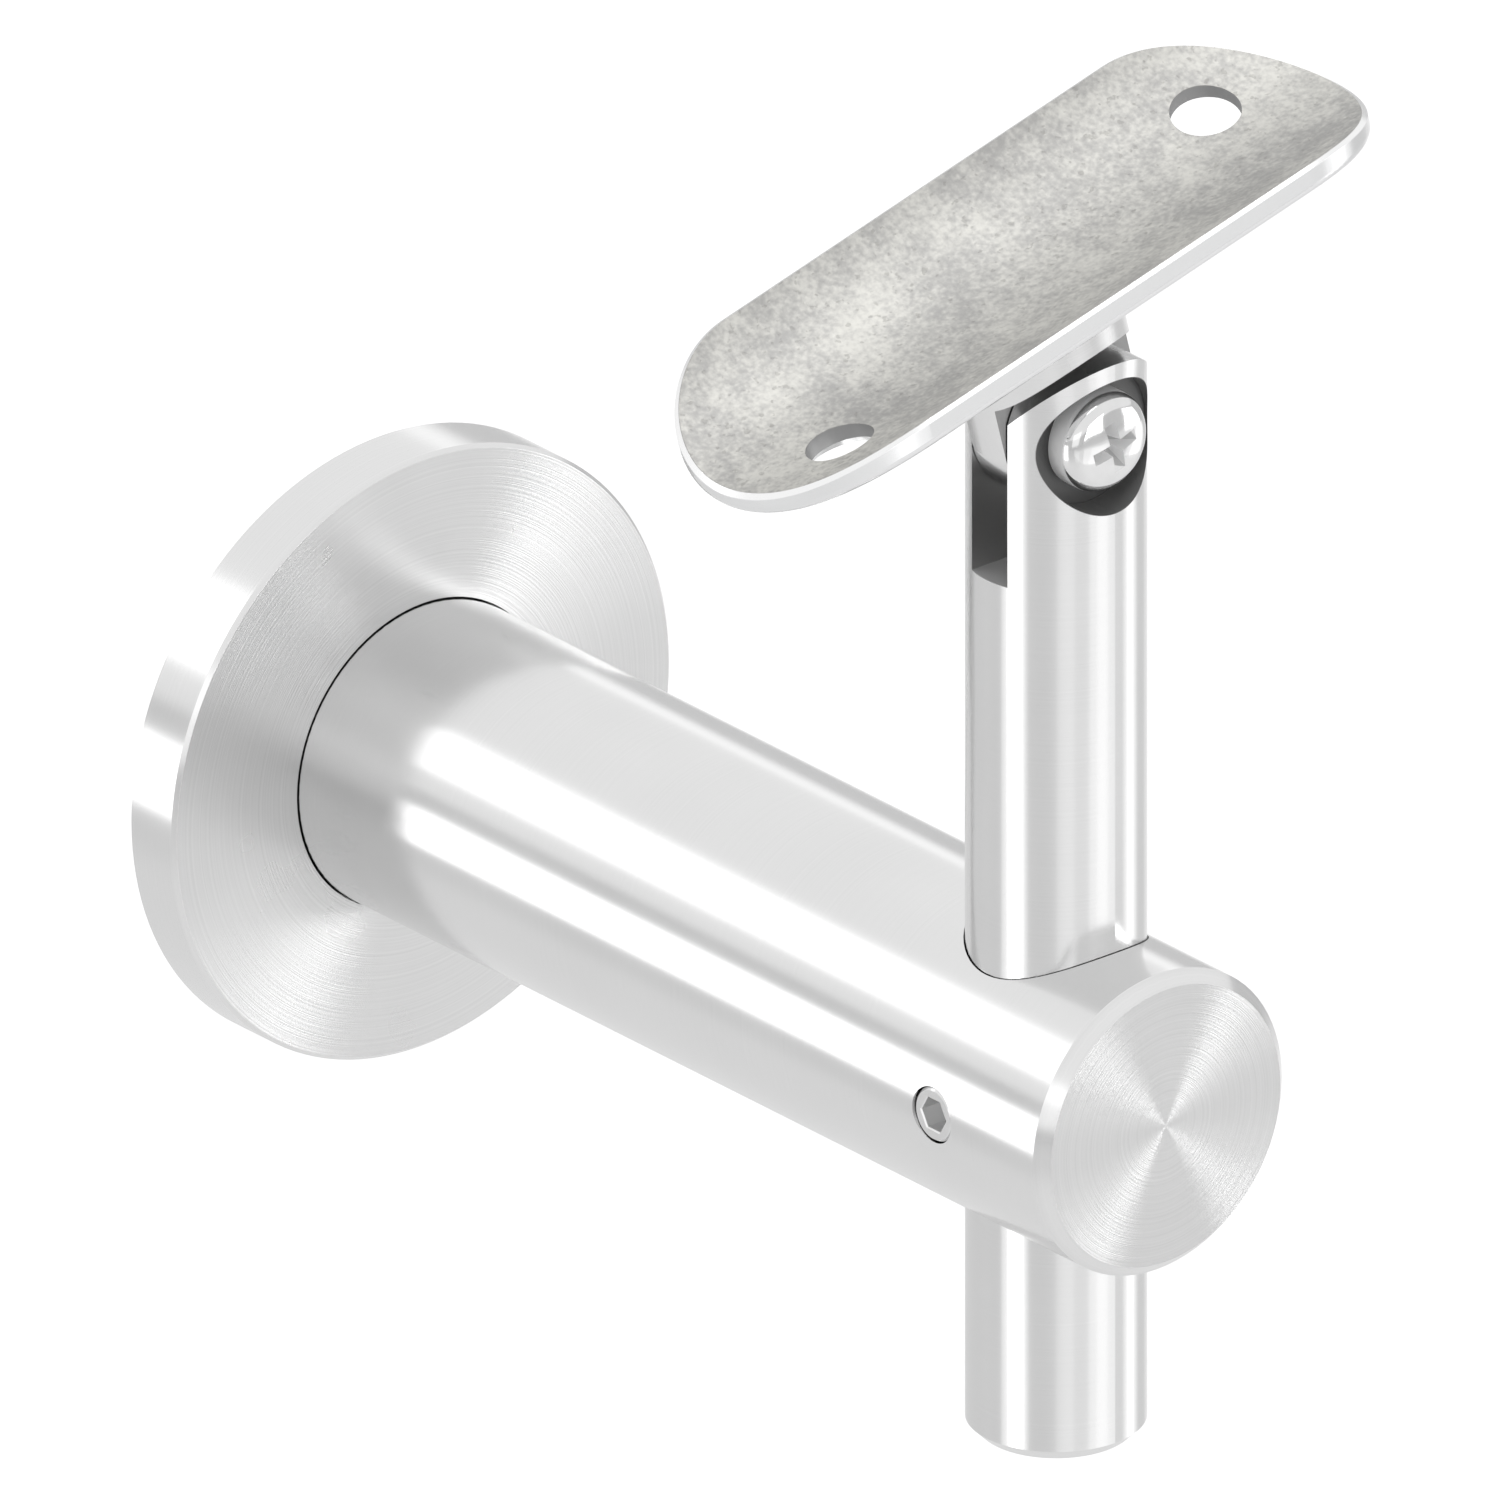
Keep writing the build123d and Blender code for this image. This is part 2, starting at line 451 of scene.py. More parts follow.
@dataclass(frozen=True)
class NeckSteel(TurnedSteel):
    """Turned steel of the neck, with painted shade on the tongue's sides and in the hollow round
    the fork.
    """

    hollow_radius: float = 8.65 * MM
    tongue_half_width: float = 2.0 * MM
    side_facing: float = 0.5
    margin: float = 0.03 * MM
    # Painted shade: darker greys in the hollow and on the tongue's sides, where shade falls between
    # the tongue and the fork.
    hollow_shade_look: PaintedShadeLook = PaintedShadeLook(0.42, 0.45)
    side_shade_look: PaintedShadeLook = PaintedShadeLook(0.3, 0.38)

    def painted_shade_walls(self, graph: Graph, point: Wire) -> list[tuple[Wire, PaintedShadeLook]]:
        """Find the wall of the hollow and the tongue's flat sides.

        Args:
            graph: The material's nodes.
            point: Object coordinates of the shaded point.

        Returns:
            The hollow's wall and the tongue's sides, each with its painted shade.
        """
        x, y, z = graph.parts(graph.vector_math("SUBTRACT", point, self.centre))
        off_axis = graph.math("ABSOLUTE", x)
        from_pivot = graph.math("SQRT", y * y + z * z)
        off_wall = graph.math("ABSOLUTE", from_pivot - self.hollow_radius)
        beside = 1.0 - graph.below(off_axis, self.tongue_half_width + self.margin)
        off_side = graph.math("ABSOLUTE", off_axis - self.tongue_half_width)
        facing = graph.math("ABSOLUTE", graph.parts(graph.normal())[0])
        flat = 1.0 - graph.below(facing, self.side_facing)
        side = graph.below(off_side, self.margin) * flat
        hollow = graph.below(off_wall, self.margin) * beside
        return [(hollow, self.hollow_shade_look), (side, self.side_shade_look)]


@dataclass(frozen=True)
class TumbledSteel:
    """Matt, mottled steel inside a curved plate whose edge and outside are polished.

    The chamfer round its top edge is the brightest, and the walls of its screw holes get painted
    shade.
    """

    name: str
    axis_point: Triple
    axis_direction: Triple
    inner_radius: float
    holes: tuple[tuple[Vector, Vector], ...]
    hole_radius: float = 2.8 * MM
    chamfer: float = 0.45 * MM
    margin: float = 0.03 * MM
    edge_start: float = 0.02 * MM
    edge_end: float = 0.06 * MM
    light: Triple = (0.6, 0.594, 0.564)
    dark: Triple = (0.37, 0.366, 0.358)
    pit_colour: Triple = (0.28, 0.275, 0.26)
    edge_colour: Triple = (0.78, 0.783, 0.786)
    chamfer_colour: Triple = (0.9, 0.9, 0.9)
    # Painted shade: a darker grey on the walls of the screw holes, for the shade inside them.
    hole_shade_colour: Triple = (0.34, 0.34, 0.34)
    clouds: NoiseLayer = NoiseLayer(0.11, 4.0, 0.45)
    patches: NoiseLayer = NoiseLayer(0.5, 3.0, 0.3)
    grain: NoiseLayer = NoiseLayer(2.2, 3.0, 0.4)
    pits: NoiseLayer = NoiseLayer(1.5, 2.0, 0.4)
    specks: NoiseLayer = NoiseLayer(0.8, 2.0, 0.6)
    mottle_range: tuple[float, float] = (0.42, 0.74)
    pit_range: tuple[float, float] = (0.62, 0.7)
    speck_range: tuple[float, float] = (0.72, 0.76)
    grain_height: float = 0.6
    patch_height: float = 0.4
    bump_strength: float = 0.3
    bump_distance: float = 0.05 * MM
    polished_roughness: float = 0.16
    matt_roughness: float = 0.3
    patch_roughness: float = 0.12
    hole_roughness: float = 0.4

    def hole_walls(self, graph: Graph, point: Wire) -> Wire:
        """Find the walls of the screw holes.

        Args:
            graph: The material's nodes.
            point: Object coordinates of the shaded point.

        Returns:
            1 within a hole's radius of its axis, and otherwise 0.
        """
        inside: Any = 0.0
        for start, direction in self.holes:
            offset = graph.vector_math("SUBTRACT", point, start)
            away = graph.vector_math("CROSS_PRODUCT", offset, direction)
            distance = graph.vector_math("LENGTH", away)
            inside = graph.below(distance, self.hole_radius + self.margin) + inside
        return inside

    def build(self) -> bpy.types.Material:
        """Make the material.

        Returns:
            The finish.
        """
        material = bpy.data.materials.new(self.name)
        graph = Graph(material)
        point = graph.position()
        offset = graph.vector_math("SUBTRACT", point, self.axis_point)
        away = graph.vector_math("CROSS_PRODUCT", offset, self.axis_direction)
        radius = graph.vector_math("LENGTH", away)
        start, end = self.inner_radius + self.edge_start, self.inner_radius + self.edge_end
        edge = graph.smooth(radius, start, end)
        wall = 1.0 - graph.below(radius, self.inner_radius + self.chamfer - self.margin)
        clouds = self.clouds.build(graph, point)
        patches = self.patches.build(graph, point)
        grain = self.grain.build(graph, point)
        broad = clouds * self.clouds.share + patches * self.patches.share
        mottle = broad + grain * self.grain.share
        pits = graph.smooth(self.pits.build(graph, point), *self.pit_range)
        worn = graph.mix(graph.smooth(mottle, *self.mottle_range), self.dark, self.light)
        specks = graph.smooth(self.specks.build(graph, point), *self.speck_range)
        marks = graph.math("MAXIMUM", pits * self.pits.share, specks * self.specks.share)
        pitted = graph.mix(marks, worn, self.pit_colour)
        height = (grain * self.grain_height + patches * self.patch_height - pits) * (1.0 - edge)
        bump = graph.add(
            "Bump", Strength=self.bump_strength, Distance=self.bump_distance, Height=height
        )
        polished = graph.mix(wall, self.chamfer_colour, self.edge_colour)
        holes = self.hole_walls(graph, point)
        # Painted shade on the hole walls, mixed into the polished edge.
        edge_with_hole_shade = graph.mix(holes, polished, self.hole_shade_colour)
        matt = (1.0 - edge) * (patches * self.patch_roughness + self.matt_roughness)
        graph.finish_steel(
            bump,
            Base_Color=graph.mix(edge, pitted, edge_with_hole_shade),
            Roughness=matt + edge * holes * self.hole_roughness + self.polished_roughness,
        )
        return material


@dataclass(frozen=True)
class PolishedSteel:
    """Bright screw steel with faint smears, rougher on the flanks that stand along the axis, which
    get a lighter grey as painted light.
    """

    name: str
    axis: Axis
    colour: float = 0.75
    roughness: float = 0.1
    # Painted light: the flanks get a lighter grey, so they look lit instead of mirroring the dark
    # pocket round them.
    flank_painted_light: float = 0.88
    flank_roughness: float = 0.48
    flank_metal: float = 1.0
    flank_facing: tuple[float, float] = (0.15, 0.3)
    smear: NoiseLayer = NoiseLayer(0.8, 3.0, 0.08)

    def build(self) -> bpy.types.Material:
        """Make the material.

        Returns:
            The finish.
        """
        material = bpy.data.materials.new(self.name)
        graph = Graph(material)
        smear = (self.smear.build(graph, graph.position()) - NOISE_MIDDLE) * self.smear.share
        facing = graph.vector_math("DOT_PRODUCT", graph.normal(), self.axis.value)
        flank = 1.0 - graph.smooth(graph.math("ABSOLUTE", facing), *self.flank_facing)
        shade = graph.blend(flank, smear + self.colour, self.flank_painted_light)
        graph.finish_steel(
            None,
            Base_Color=graph.add("CombineColor", Red=shade, Green=shade, Blue=shade),
            Roughness=graph.blend(flank, smear + self.roughness, self.flank_roughness),
            Metallic=graph.blend(flank, 1.0, self.flank_metal),
        )
        return material


@dataclass(frozen=True)
class SoftBox:
    """One soft lamp, given by where it stands and how large it looks, in degrees."""

    name: str
    azimuth: float
    elevation: float
    width: float
    height: float
    radiance: float
    watts_per_area: float = 4.0

    def build(self, centre: Vector, distance: float) -> None:
        """Place the lamp.

        Args:
            centre: Point that the lamp looks at.
            distance: How far away it stands.
        """
        turn, rise = math.radians(self.azimuth), math.radians(self.elevation)
        level = math.cos(rise)
        toward = Vector((math.cos(turn) * level, math.sin(turn) * level, math.sin(rise)))
        data = bpy.data.lights.new(self.name, "AREA")
        data.shape = "RECTANGLE"
        data.size = 2 * distance * math.tan(math.radians(self.width / 2))
        data.size_y = 2 * distance * math.tan(math.radians(self.height / 2))
        data.energy = self.watts_per_area * data.size * data.size_y * self.radiance
        lamp = bpy.data.objects.new(self.name, data)
        bpy.context.scene.collection.objects.link(lamp)
        lamp.location = centre + toward * distance
        lamp.rotation_euler = toward.to_track_quat("Z", "Y").to_euler()
        lamp.visible_camera = False


@dataclass
class Studio:
    """Pale floor, white surroundings and soft lamps all round."""

    centre: Vector
    distance: float = 3.0
    floor_drop: float = 1.6
    floor_radius: float = 9.0
    floor_sides: int = 96
    floor_colour: Triple = (0.8, 0.8, 0.8)
    floor_roughness: float = 0.9
    cove_height: float = 2.9
    world_level: float = 0.6
    floor_glow_for_camera: float = 0.6
    floor_glow_for_metal: float = 0.25
    boxes: list[SoftBox] = field(default_factory=list)

    def build_world(self) -> None:
        """White background for the camera and for reflections, plain light for the rest."""
        world = bpy.data.worlds.new("studio")
        bpy.context.scene.world = world
        graph = Graph(world)
        seen = graph.seen_by("Camera", "Glossy", "Transmission")
        shown = graph.math("MINIMUM", seen[0] + seen[1] + seen[2], 1.0)
        strength = shown * (1.0 - self.world_level) + self.world_level
        background = graph.add("Background", Color=(1.0, 1.0, 1.0), Strength=strength)
        output = graph.tree.nodes.new("ShaderNodeOutputWorld")
        graph.tree.links.new(background.socket, output.inputs[0])

    def build_floor(self) -> None:
        """A wide pale floor well below the bracket, whose edge rises into a low cove."""
        bpy.ops.object.select_all(action="DESELECT")
        bpy.ops.mesh.primitive_circle_add(
            vertices=self.floor_sides,
            radius=self.floor_radius,
            fill_type="NGON",
            location=(self.centre.x, self.centre.y, -self.floor_drop),
        )
        floor = bpy.context.object
        floor.name = "studio_floor"
        bpy.ops.object.mode_set(mode="EDIT")
        bpy.ops.mesh.select_mode(type="EDGE")
        bpy.ops.mesh.select_all(action="SELECT")
        bpy.ops.mesh.region_to_loop()
        rise = (0.0, 0.0, self.cove_height)
        bpy.ops.mesh.extrude_edges_move(TRANSFORM_OT_translate={"value": rise})
        bpy.ops.object.mode_set(mode="OBJECT")
        material = bpy.data.materials.new("pale_floor")
        graph = Graph(material)
        seen = graph.seen_by("Camera", "Glossy", "Transmission")
        by_metal = (seen[1] + seen[2]) * self.floor_glow_for_metal
        glow = seen[0] * self.floor_glow_for_camera + by_metal
        node = graph.tree.nodes.new("ShaderNodeBsdfPrincipled")
        graph.feed(node.inputs["Base Color"], self.floor_colour)
        graph.feed(node.inputs["Roughness"], self.floor_roughness)
        graph.feed(node.inputs["Specular IOR Level"], 0.0)
        graph.feed(node.inputs["Emission Color"], (1.0, 1.0, 1.0))
        graph.feed(node.inputs["Emission Strength"], glow)
        output = graph.tree.nodes.new("ShaderNodeOutputMaterial")
        graph.tree.links.new(node.outputs[0], output.inputs[0])
        floor.data.materials.append(material)

    def build(self) -> None:
        """Build the world, the floor and the lamps."""
        self.build_world()
        self.build_floor()
        for box in self.boxes:
            box.build(self.centre, self.distance)


@dataclass(frozen=True)
class PhotoCamera:
    """Parallel view from the photograph's direction."""

    aim: Triple = (0.0460, -0.0019, 0.0155)
    toward: Triple = (0.6900, -0.5850, 0.4258)
    distance: float = 5.2
    clip_start: float = 0.1
    clip_past: float = 10.0
    frame_width: float = 0.11485

    def build(self) -> None:
        """Create the camera and make it the scene's."""
        data = bpy.data.cameras.new("photo_camera")
        data.type = "ORTHO"
        data.ortho_scale = self.frame_width
        data.clip_start, data.clip_end = self.clip_start, 2 * self.distance + self.clip_past
        camera = bpy.data.objects.new("photo_camera", data)
        bpy.context.scene.collection.objects.link(camera)
        back = Vector(self.toward).normalized()
        camera.location = Vector(self.aim) + back * self.distance
        camera.rotation_mode = "QUATERNION"
        camera.rotation_quaternion = (-back).to_track_quat("-Z", "Y")
        bpy.context.scene.camera = camera


@dataclass(frozen=True)
class Turning:
    """Closed body of revolution about its Z axis; its rings are heights and radii in mm."""

    name: str
    rings: Sequence[tuple[float, float]]
    sides: int = 96
    turn: float = 0.0

    def build(self) -> bpy.types.Object:
        """Extrude and resize a disc from ring to ring.

        Returns:
            The finished body.
        """
        height, radius = self.rings[0]
        bpy.ops.object.select_all(action="DESELECT")
        bpy.ops.mesh.primitive_circle_add(
            vertices=self.sides,
            radius=radius * MM,
            fill_type="NGON",
            location=(0.0, 0.0, height * MM),
            rotation=(0.0, 0.0, math.radians(self.turn)),
        )
        piece = bpy.context.object
        piece.name = self.name
        bpy.ops.object.mode_set(mode="EDIT")
        bpy.ops.mesh.select_all(action="SELECT")
        for next_height, next_radius in self.rings[1:]:
            rise = (0.0, 0.0, (next_height - height) * MM)
            bpy.ops.mesh.extrude_region_move(TRANSFORM_OT_translate={"value": rise})
            factor = next_radius / radius
            bpy.ops.transform.resize(value=(factor, factor, 1.0), center_override=(0.0, 0.0, 0.0))
            height, radius = next_height, next_radius
        bpy.ops.mesh.select_all(action="SELECT")
        bpy.ops.mesh.normals_make_consistent(inside=False)
        bpy.ops.object.mode_set(mode="OBJECT")
        settle(piece)
        return piece


@dataclass(frozen=True)
class RecessWing:
    """Cutter for two arms of a cross recess, narrow at the floor; lengths in millimetres."""

    top: float
    depth: float = 2.1
    span: float = 4.6
    slot: float = 1.05
    floor_span: float = 1.2
    floor_slot: float = 0.7
    overrun: float = 0.5

    def build(self, turn: float) -> bpy.types.Object:
        """Extrude a small rectangle upwards and widen it.

        Args:
            turn: Angle of the arms about the screw's axis, in degrees.

        Returns:
            The cutter.
        """
        floor = (0.0, 0.0, (self.top - self.depth) * MM)
        bpy.ops.object.select_all(action="DESELECT")
        bpy.ops.mesh.primitive_plane_add(size=MM, location=floor)
        cutter = bpy.context.object
        bpy.ops.object.mode_set(mode="EDIT")
        bpy.ops.mesh.select_all(action="SELECT")
        centre = {"center_override": (0.0, 0.0, 0.0)}
        bpy.ops.transform.resize(value=(self.floor_span, self.floor_slot, 1.0), **centre)
        rise = (0.0, 0.0, self.depth * MM)
        bpy.ops.mesh.extrude_region_move(TRANSFORM_OT_translate={"value": rise})
        widen = (self.span / self.floor_span, self.slot / self.floor_slot, 1.0)
        bpy.ops.transform.resize(value=widen, **centre)
        past_mouth = (0.0, 0.0, self.overrun * MM)
        bpy.ops.mesh.extrude_region_move(TRANSFORM_OT_translate={"value": past_mouth})
        bpy.ops.mesh.select_all(action="SELECT")
        bpy.ops.mesh.normals_make_consistent(inside=False)
        bpy.ops.object.mode_set(mode="OBJECT")
        cutter.rotation_euler = (0.0, 0.0, math.radians(turn))
        settle(cutter)
        return cutter


@dataclass(frozen=True)
class ThreadRidge:
    """Helical ridge of an outside thread round the Z axis; lengths in millimetres."""

    crest_radius: float
    pitch: float
    start: float
    end: float
    tip_radius: float
    steps: int = 32

    def build(self) -> bpy.types.Object:
        """Sweep a triangle along the helix.

        Returns:
            The closed ridge.
        """
        bpy.ops.object.select_all(action="DESELECT")
        bpy.ops.mesh.primitive_circle_add(
            vertices=3,
            radius=self.tip_radius * MM,
            location=((self.crest_radius - self.tip_radius) * MM, 0.0, self.start * MM),
            rotation=(math.radians(90.0), math.radians(90.0), 0.0),
        )
        ridge = bpy.context.object
        settle(ridge)
        sweep = ridge.modifiers.new("helix", "SCREW")
        sweep.axis = "Z"
        sweep.steps = sweep.render_steps = self.steps
        sweep.screw_offset = self.pitch * MM
        sweep.iterations = int((self.end - self.start) / self.pitch)
        sweep.use_merge_vertices = False
        bpy.ops.object.modifier_apply(modifier=sweep.name)
        bpy.ops.object.mode_set(mode="EDIT")
        bpy.ops.mesh.select_all(action="SELECT")
        bpy.ops.mesh.fill_holes(sides=3)
        bpy.ops.mesh.select_all(action="SELECT")
        bpy.ops.mesh.normals_make_consistent(inside=False)
        bpy.ops.object.mode_set(mode="OBJECT")
        return ridge


def settle(piece: bpy.types.Object) -> None:
    """Make the piece the only selected one, and work its place and turn into its mesh.

    Args:
        piece: The piece.
    """
    bpy.ops.object.select_all(action="DESELECT")
    piece.select_set(True)
    bpy.context.view_layer.objects.active = piece
    bpy.ops.object.transform_apply(location=True, rotation=True, scale=True)


def cut_away(piece: bpy.types.Object, cutter: bpy.types.Object) -> None:
    """Take the cutter's volume out of the piece, and the cutter out of the scene.

    Args:
        piece: The piece to cut.
        cutter: A closed body, which is used up.
    """
    settle(piece)
    cut = piece.modifiers.new("cut", "BOOLEAN")
    cut.operation = "DIFFERENCE"
    cut.solver = "EXACT"
    cut.object = cutter
    bpy.ops.object.modifier_apply(modifier=cut.name)
    bpy.data.objects.remove(cutter)


def finish_piece(
    pieces: Sequence[bpy.types.Object],
    place: Triple,
    turn: Triple,
    material: bpy.types.Material,
) -> bpy.types.Object:
    """Join parts of one piece, stand it in its place and give it its finish.

    Args:
        pieces: The parts, the main one first.
        place: Where the piece's own origin goes.
        turn: The piece's Euler angles there, in degrees.
        material: Its finish.

    Returns:
        The piece, at the scene's origin with its shape in place.
    """
    bpy.ops.object.select_all(action="DESELECT")
    for part in pieces:
        part.select_set(True)
    piece = pieces[0]
    bpy.context.view_layer.objects.active = piece
    if len(pieces) > 1:
        bpy.ops.object.join()
    piece.rotation_euler = tuple(math.radians(angle) for angle in turn)
    piece.location = place
    settle(piece)
    bpy.ops.object.shade_smooth_by_angle(angle=math.radians(SMOOTH_ANGLE))
    piece.data.materials.clear()
    piece.data.materials.append(material)
    log.info("%s: %d faces", piece.name, len(piece.data.polygons))
    return piece


@dataclass(frozen=True)
class PanHeadScrew:
    """M4 pan head screw with a cross recess and its head at +Z; lengths in millimetres."""

    length: float = 10.0
    shank_radius: float = 2.0
    core_radius: float = 1.58
    plain_length: float = 4.0
    shoulder: float = 0.2
    pitch: float = 0.7
    ridge_radius: float = 0.33
    ridge_start: float = 0.4
    point_chamfer: float = 0.5
    head_radius: float = 4.1
    head_height: float = 3.3
    crown_radius: float = 10.0
    edge_round: float = 1.6
    head_steps: int = 8
    recess_turn: float = 15.0

    def head_rings(self) -> list[tuple[float, float]]:
        """Round the head's edge and dome its crown.

        Returns:
            Heights and radii from the head's underside nearly to the middle of its crown.
        """
        centre_radius = self.head_radius - self.edge_round
        crown_centre = self.head_height - self.crown_radius
        reach = self.crown_radius - self.edge_round
        centre_height = crown_centre + math.sqrt(reach**2 - centre_radius**2)
        last = math.acos(centre_radius / reach)
        rings = [(0.0, self.head_radius)]
        for step in range(self.head_steps + 1):
            angle = last * step / self.head_steps
            height = centre_height + self.edge_round * math.sin(angle)
            rings.append((height, centre_radius + self.edge_round * math.cos(angle)))
        edge = rings[-1][1]
        for step in range(1, self.head_steps):
            radius = edge * (1.0 - step / self.head_steps)
            rings.append((crown_centre + math.sqrt(self.crown_radius**2 - radius**2), radius))
        return rings

    def build(self, place: Triple, turn: Triple) -> bpy.types.Object:
        """Turn the screw, cut its recess and add its thread.

        Args:
            place: Where the head's underside goes.
            turn: Euler angles of the screw, in degrees.

        Returns:
            The screw.
        """
        shank = [
            (-self.length, self.core_radius - self.point_chamfer),
            (self.point_chamfer - self.length, self.core_radius),
            (-self.plain_length - self.shoulder, self.core_radius),
            (-self.plain_length, self.shank_radius),
            (0.0, self.shank_radius),
        ]
        screw = Turning("cross_recess_screw", shank + self.head_rings()).build()
        wing = RecessWing(self.head_height)
        for angle in (self.recess_turn, self.recess_turn + 90.0):
            cut_away(screw, wing.build(angle))
        start, end = self.ridge_start - self.length, -self.plain_length
        ridge = ThreadRidge(self.shank_radius, self.pitch, start, end, self.ridge_radius)
        # Painted light: the head's flank is not metal here, so it shows as a lit grey instead of
        # mirroring the dark pocket.
        material = PolishedSteel("pivot_screw_steel", Axis.X, flank_metal=0.0).build()
        return finish_piece([screw, ridge.build()], place, turn, material)


@dataclass(frozen=True)
class GrubScrew:
    """M5 set screw with a hexagon socket at +Z; lengths in millimetres."""

    length: float = 5.3
    radius: float = 2.25
    core_radius: float = 2.0
    pitch: float = 0.8
    ridge_radius: float = 0.35
    ridge_start: float = 1.1
    ridge_end: float = 0.6
    point_chamfer: float = 0.9
    collar_height: float = 0.25
    collar_chamfer: float = 0.2
    collar_inset: float = 0.05
    mouth_chamfer: float = 0.12
    socket_corner: float = 1.443
    socket_depth: float = 2.3
    drill_point: float = 0.4
    drill_tip: float = 0.2
    socket_step: float = 0.1
    socket_turn: float = 30.0

    def build(self, place: Triple, turn: Triple) -> bpy.types.Object:
        """Turn the screw, cut its socket and add its thread.

        Args:
            place: Where the screw's point goes.
            turn: Euler angles of the screw, in degrees.

        Returns:
            The screw.
        """
        top = self.length
        collar = self.radius - self.collar_inset
        blank = [
            (0.0, self.radius - self.point_chamfer),
            (self.core_radius - self.radius + self.point_chamfer, self.core_radius),
            (top - self.collar_height, self.core_radius),
            (top - self.collar_height, collar),
            (top - self.collar_chamfer, collar),
            (top, collar - self.collar_chamfer),
        ]
        screw = Turning("grub_screw", blank).build()
        corner, floor = self.socket_corner, top - self.socket_depth
        socket = [
            (floor - self.drill_point, self.drill_tip),
            (floor, corner - self.socket_step),
            (floor, corner),
            (top - self.mouth_chamfer, corner),
            (top + self.mouth_chamfer, corner + 2 * self.mouth_chamfer),
        ]
        cut_away(screw, Turning("socket_cutter", socket, sides=6, turn=self.socket_turn).build())
        end = top - self.ridge_end
        ridge = ThreadRidge(self.radius, self.pitch, self.ridge_start, end, self.ridge_radius)
        material = PolishedSteel("set_screw_steel", Axis.Y, roughness=0.16).build()
        return finish_piece([screw, ridge.build()], place, turn, material)


def dress(node: str, material: bpy.types.Material) -> None:
    """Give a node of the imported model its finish.

    Args:
        node: The node's name.
        material: The finish.
    """
    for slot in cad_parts[node].material_slots:
        slot.material = material
    log.info("%s: dressed in %s", node, material.name)


@dataclass
class WallArm:
    """Rosette, arm and the set screw in its side."""

    screw_point: Triple = (POST_X, -7.05 * MM, 0.0)
    screw_turn: Triple = (90.0, 0.0, 0.0)
    rosette_end_colour: float = 0.65
    wall_thread_radius: float = 3.43 * MM

    def build(self) -> None:
        """Dress the fixed pieces and build the set screw."""
        rosette = TurnedSteel("rosette_steel", Axis.X, end_colour=self.rosette_end_colour)
        dress("wall_rosette", rosette.build())
        arm = TurnedSteel("arm_steel", Axis.X, thread_radius=self.wall_thread_radius)
        dress("arm_bar", arm.build())
        screw = GrubScrew().build(self.screw_point, self.screw_turn)
        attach(screw, "wall_arm")
        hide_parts("set_screw")


@dataclass
class HeightPost:
    """Sliding post and the pivot screw in its fork."""

    foot: Triple = (POST_X, 0.0, 0.0)
    head_seat: Triple = (POST_X + POCKET_FLOOR, 0.0, PIVOT_HEIGHT)
    screw_turn: Triple = (0.0, 90.0, 0.0)

    def build(self) -> None:
        """Dress the post and build the pivot screw."""
        post = ForkSteel("post_steel", Axis.Z, self.foot, pivot=PIVOT)
        dress("height_post", post.build())
        screw = PanHeadScrew().build(self.head_seat, self.screw_turn)
        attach(screw, "post")
        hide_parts("pivot_screw")


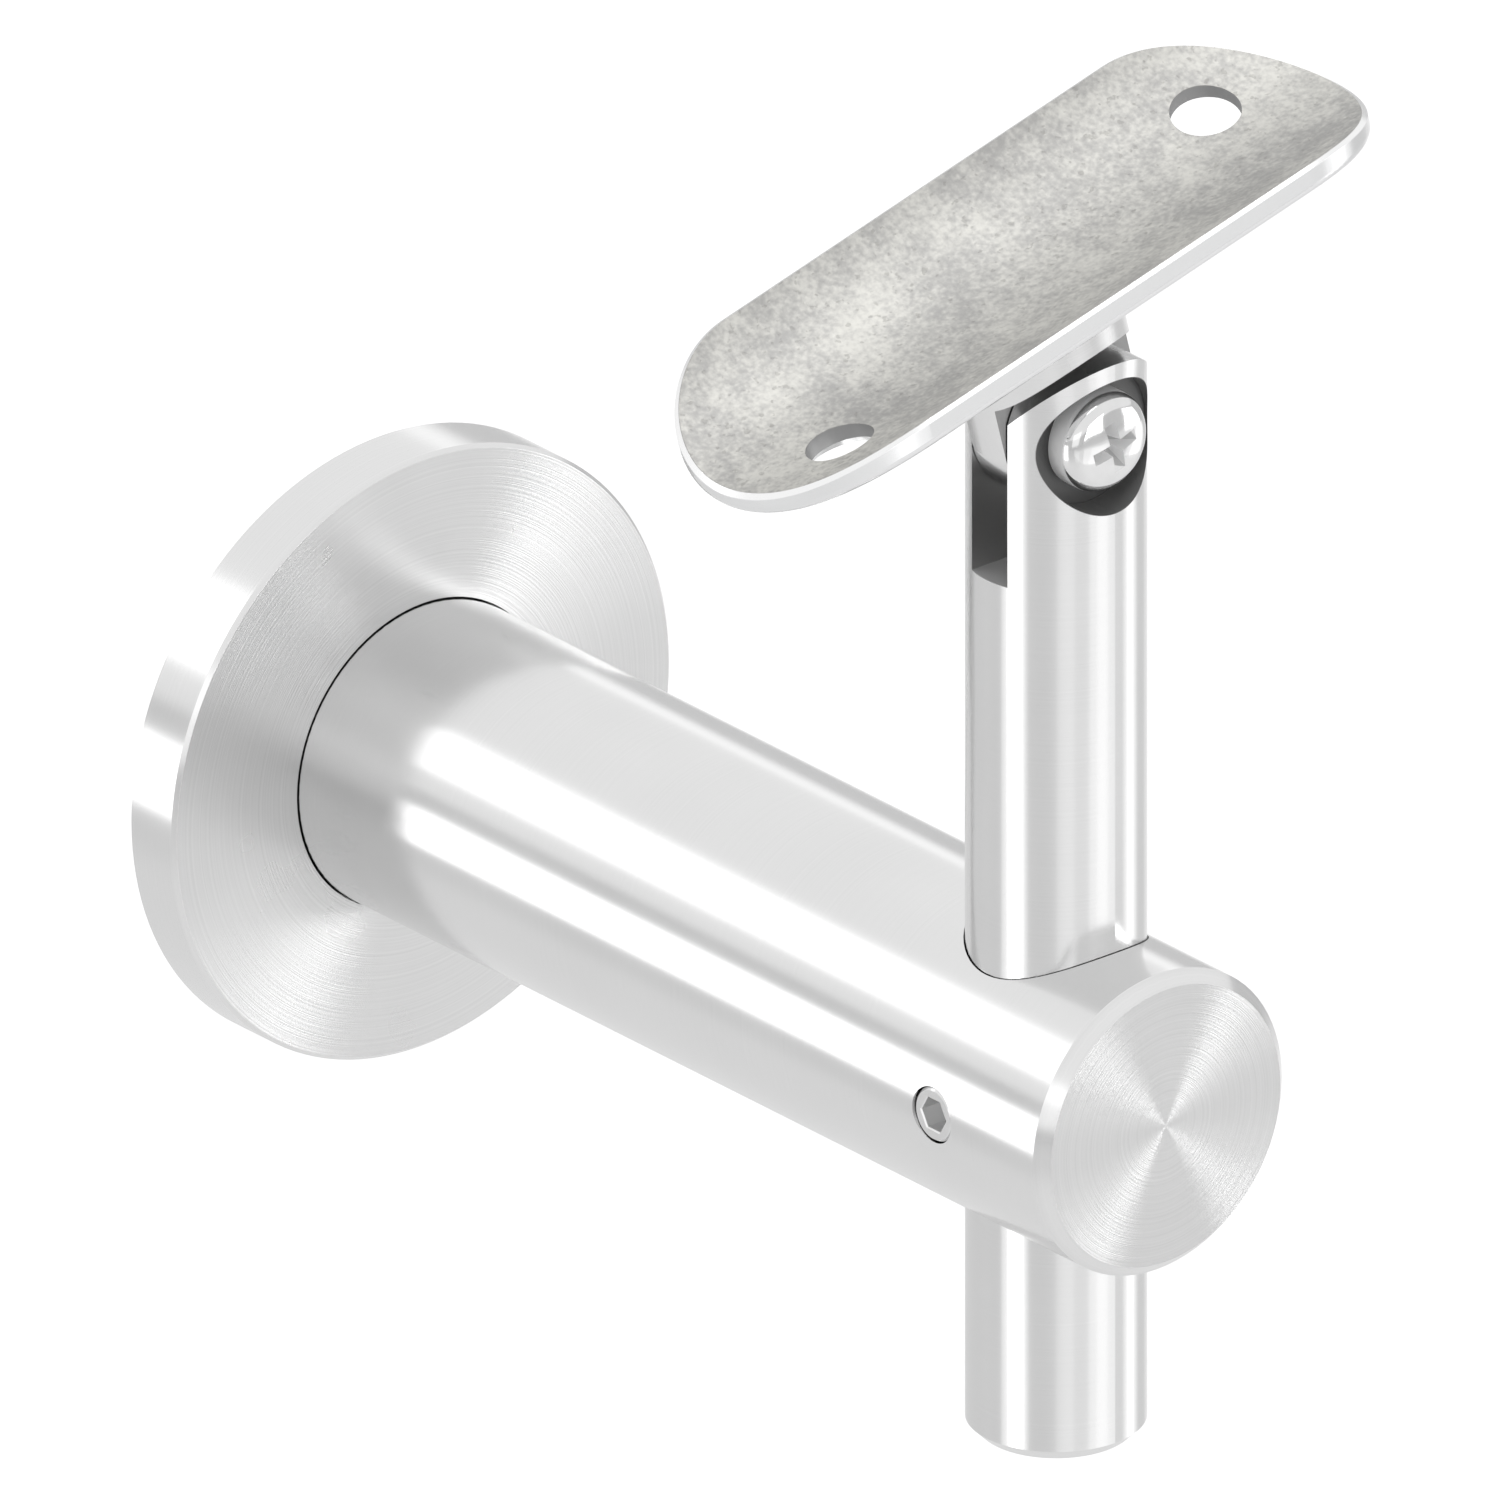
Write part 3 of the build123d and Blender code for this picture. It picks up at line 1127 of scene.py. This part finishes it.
@dataclass
class Saddle:
    """Neck and rail plate, which tilt on the post."""

    tilt: float = 14.5
    neck_end_tilt: float = 0.05
    rail_axis_lift: float = 34.1 * MM
    rail_radius: float = 21.2 * MM
    hole_offset: float = 22.8 * MM
    hole_swing: float = 11.96

    def build(self) -> None:
        """Dress the tilting pieces."""
        lean = math.radians(self.tilt)
        along = Vector((0.0, math.cos(lean), math.sin(lean)))
        up = Vector((0.0, -math.sin(lean), math.cos(lean)))
        on_axis = Vector(PIVOT) + up * self.rail_axis_lift
        neck = NeckSteel("neck_steel", Axis.X, PIVOT, end_tilt=self.neck_end_tilt)
        dress("saddle_neck", neck.build())
        steel = TumbledSteel(
            "plate_steel",
            tuple(on_axis),
            tuple(along),
            self.rail_radius,
            tuple(self.hole_axis(on_axis, along, up, side) for side in (-1, 1)),
        )
        dress("saddle_plate", steel.build())

    def hole_axis(
        self, on_axis: Vector, along: Vector, up: Vector, side: int
    ) -> tuple[Vector, Vector]:
        """Axis of one screw hole, as a point on the rail's axis and the hole's direction.

        Args:
            on_axis: Point on the rail's axis over the pivot.
            along: Direction of the rail.
            up: Direction from the pivot to the rail's axis.
            side: +1 for the raised end of the plate and -1 for the other.

        Returns:
            The point and the direction.
        """
        swing = math.radians(self.hole_swing) * side
        outward = Vector((math.sin(swing), 0.0, 0.0)) + up * math.cos(swing)
        return on_axis + along * self.hole_offset * side, outward


def soft_boxes() -> list[SoftBox]:
    """Set out the lamps round the bracket.

    Returns:
        The lamps, with azimuths from +X towards +Y, elevations and sizes in degrees.
    """
    return [
        SoftBox("rear_left_low", -135.5, -10.0, 14.0, 19.0, 1.0),
        SoftBox("rear_left_high", -144.0, 28.0, 22.0, 19.0, 0.6),
        SoftBox("rear_right_low", 131.5, -22.0, 20.0, 12.0, 0.17),
        SoftBox("rear_right_wash", 131.5, -22.0, 42.0, 12.0, 0.1),
        SoftBox("rear_right_high", 135.0, 15.5, 14.0, 7.0, 0.2),
        SoftBox("front_left_strip", -92.0, -20.0, 18.0, 34.0, 0.8),
        SoftBox("front_left_wash", -94.0, -20.0, 34.0, 34.0, 0.28),
        SoftBox("front_right_strip", 68.0, -24.0, 14.0, 18.0, 0.3),
        SoftBox("front_right_wash", 68.5, -24.0, 27.0, 18.0, 0.25),
        SoftBox("front_strip", 20.0, -25.0, 14.0, 14.0, 0.12),
        SoftBox("front_strip_wash", 19.0, -25.0, 32.0, 14.0, 0.18),
        SoftBox("front_fill", 5.0, -24.0, 98.0, 16.0, 0.15),
        SoftBox("front_left_fill", -29.0, -24.0, 20.0, 16.0, 0.09),
        SoftBox("front_left_lamp", -45.0, 7.0, 34.0, 24.0, 0.36),
        SoftBox("side_fan_lamp", 55.0, -4.0, 15.0, 15.0, 2.4),
        SoftBox("side_fan_wash", 60.0, -5.0, 26.0, 20.0, 0.9),
        SoftBox("front_fan_lamp", 9.0, 4.0, 26.0, 22.0, 2.8),
        SoftBox("top_light", 141.0, 74.0, 30.0, 26.0, 1.6),
    ]


def main() -> None:
    """Build the bracket's looks, the studio and the camera, in order."""
    bpy.context.scene.view_settings.view_transform = "Standard"
    for assembly in (WallArm(), HeightPost(), Saddle()):
        assembly.build()
        log.info("%s: built", type(assembly).__name__)
    camera = PhotoCamera()
    camera.build()
    Studio(Vector(camera.aim), boxes=soft_boxes()).build()


if __name__ == "__main__":
    main()
